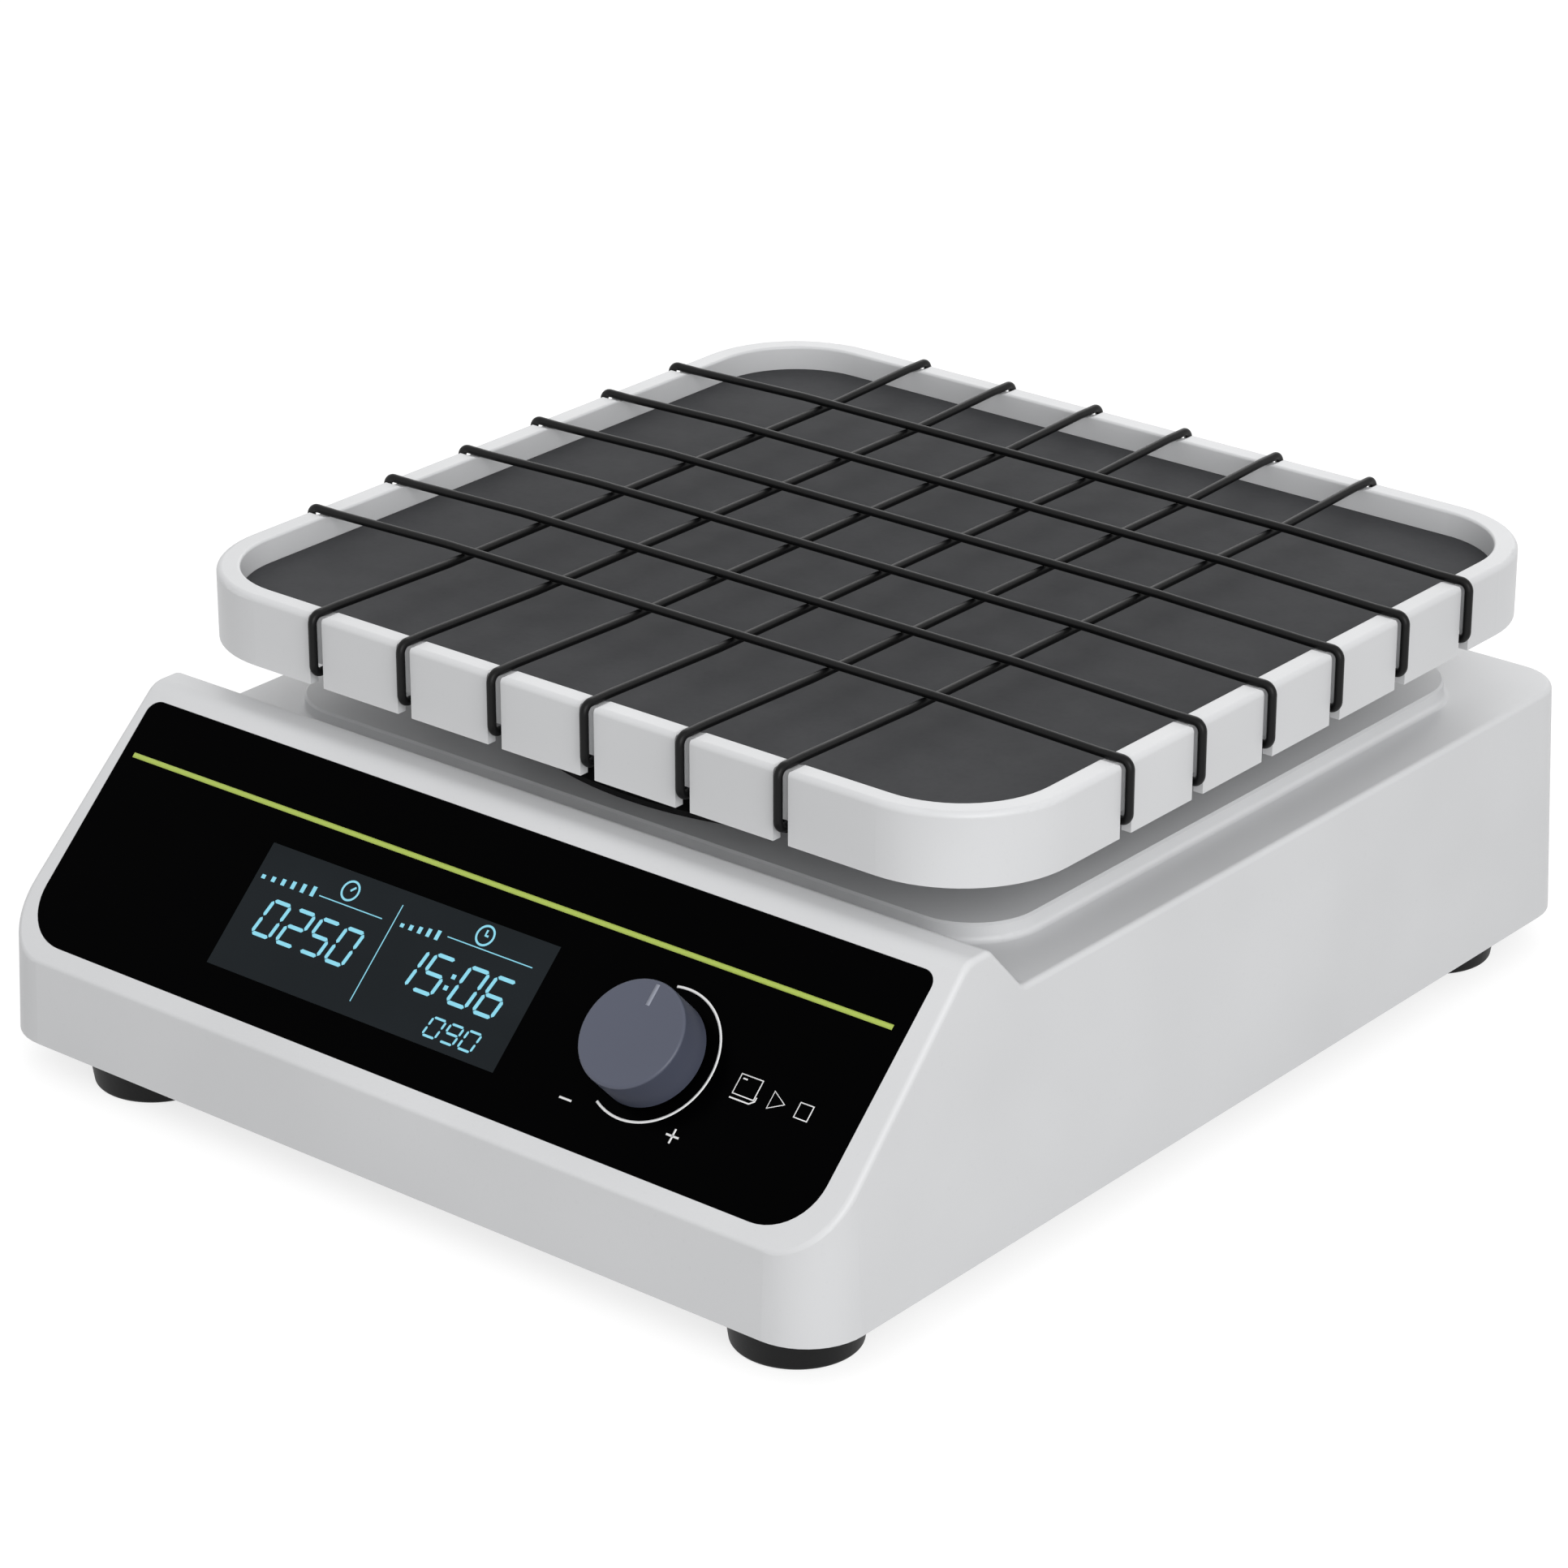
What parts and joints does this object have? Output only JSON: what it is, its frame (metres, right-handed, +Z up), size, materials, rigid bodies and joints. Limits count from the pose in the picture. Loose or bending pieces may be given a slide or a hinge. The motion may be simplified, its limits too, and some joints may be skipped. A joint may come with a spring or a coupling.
{
  "type": "linear shaker",
  "caption": "Bench-top linear shaker: a tray with crossed elastic cords over a rubber mat slides to and fro on a housing with a sloping control panel, display and knob.",
  "frame": {"origin": "on the bench, under the middle of the housing's outline", "axes": "+X to the right along the tray's travel, +Y to the back, away from the control panel, +Z up"},
  "size_m": [0.36, 0.4286, 0.1583],
  "materials": {
    "housing": "smooth, light grey",
    "tray_shell": "smooth, light grey",
    "fascia": "glossy black film",
    "display": "dark tinted window",
    "display_frame": "plain",
    "mat": "fine matte",
    "cord": "black, slight sheen",
    "foot": "black, matte",
    "boot": "black, matte",
    "belt": "black, matte",
    "knob": "blue-grey, satin",
    "pan": "grey paint",
    "plate": "milled",
    "pulley": "turned",
    "yoke": "natural acetal",
    "shaft": "ground",
    "crank": "turned",
    "roller": "turned",
    "screw": "zinc plated",
    "motor": "black paint",
    "bracket": "folded sheet",
    "board": "green board",
    "encoder": "plain",
    "connector": "black, moulded",
    "contact": "plated",
    "rocker": "black, moulded"
  },
  "bodies": {
    "base": {"base_pan": "pan", "board_screws": "screw", "control_board": "board", "crank_bearing": "plate", "display_module": "display_frame", "display_window": "display", "drive_belt": "belt", "dust_boot": "boot", "encoder": "encoder", "encoder_nut": "screw", "foot_front_left": "foot", "foot_front_right": "foot", "foot_rear_left": "foot", "foot_rear_right": "foot", "foot_screws": "screw", "frame_screws": "screw", "front_panel": "fascia", "guide_shaft_front": "shaft", "guide_shaft_rear": "shaft", "inlet_pins": "contact", "inlet_screws": "screw", "mains_inlet": "connector", "motor": "motor", "motor_bracket": "bracket", "power_supply": "board", "power_switch": "connector", "shaft_bracket_left": "plate", "shaft_bracket_right": "plate", "upper_housing": "housing"},
    "tray_carriage": {"tray": "tray_shell", "tray_mat": "mat", "tray_screws": "screw", "cord_y_1": "cord", "cord_y_2": "cord", "cord_y_3": "cord", "cord_y_4": "cord", "cord_y_5": "cord", "cord_y_6": "cord", "cord_x_1": "cord", "cord_x_2": "cord", "cord_x_3": "cord", "cord_x_4": "cord", "cord_x_5": "cord", "cord_x_6": "cord", "support_plate": "plate", "posts": "plate", "post_screws": "screw", "carriage_plate": "plate", "bearing_blocks": "plate", "carriage_screws": "screw", "yoke": "yoke"},
    "crank": {"crank": "crank", "crank_roller": "roller", "crank_pulley": "pulley"},
    "motor_rotor": {"motor_shaft": "shaft", "motor_pulley": "pulley"},
    "push_plunger": {"encoder_plunger": "encoder"},
    "knob": {"encoder_shaft": "shaft", "speed_knob": "knob"},
    "rocker": {"power_rocker": "rocker"}
  },
  "joints": [
    {"name": "tray_slide", "type": "slide", "parent": "base", "child": "tray_carriage", "axis": [1, 0, 0], "range_m": [-0.005, 0.005]},
    {"name": "crank_turn", "type": "hinge", "parent": "base", "child": "crank", "pos_m": [0, 0.0364, 0.065], "axis": [0, 0, 1], "range_deg": [-90, 90]},
    {"name": "motor_turn", "type": "hinge", "parent": "base", "child": "motor_rotor", "pos_m": [0, -0.0716, 0.05], "axis": [0, 0, 1], "range_deg": [-270, 270]},
    {"name": "knob_push", "type": "slide", "parent": "base", "child": "push_plunger", "axis": [0, 0.6871, -0.7266], "range_m": [0, 0.0008], "stiffness_N_per_m": 1500, "springref_m": -0.0005},
    {"name": "knob_turn", "type": "hinge", "parent": "push_plunger", "child": "knob", "pos_m": [0.0874, -0.18047, 0.07383], "axis": [0, -0.6871, 0.7266], "continuous": true},
    {"name": "power_rocker", "type": "hinge", "parent": "base", "child": "rocker", "pos_m": [-0.046, 0.204, 0.049], "axis": [1, 0, 0], "range_deg": [-14, 0]}
  ],
  "couplings": [
    {"joint": "crank_turn", "follows": "tray_slide", "rad_per_m": -314.16},
    {"joint": "motor_turn", "follows": "tray_slide", "rad_per_m": -942.48}
  ]
}
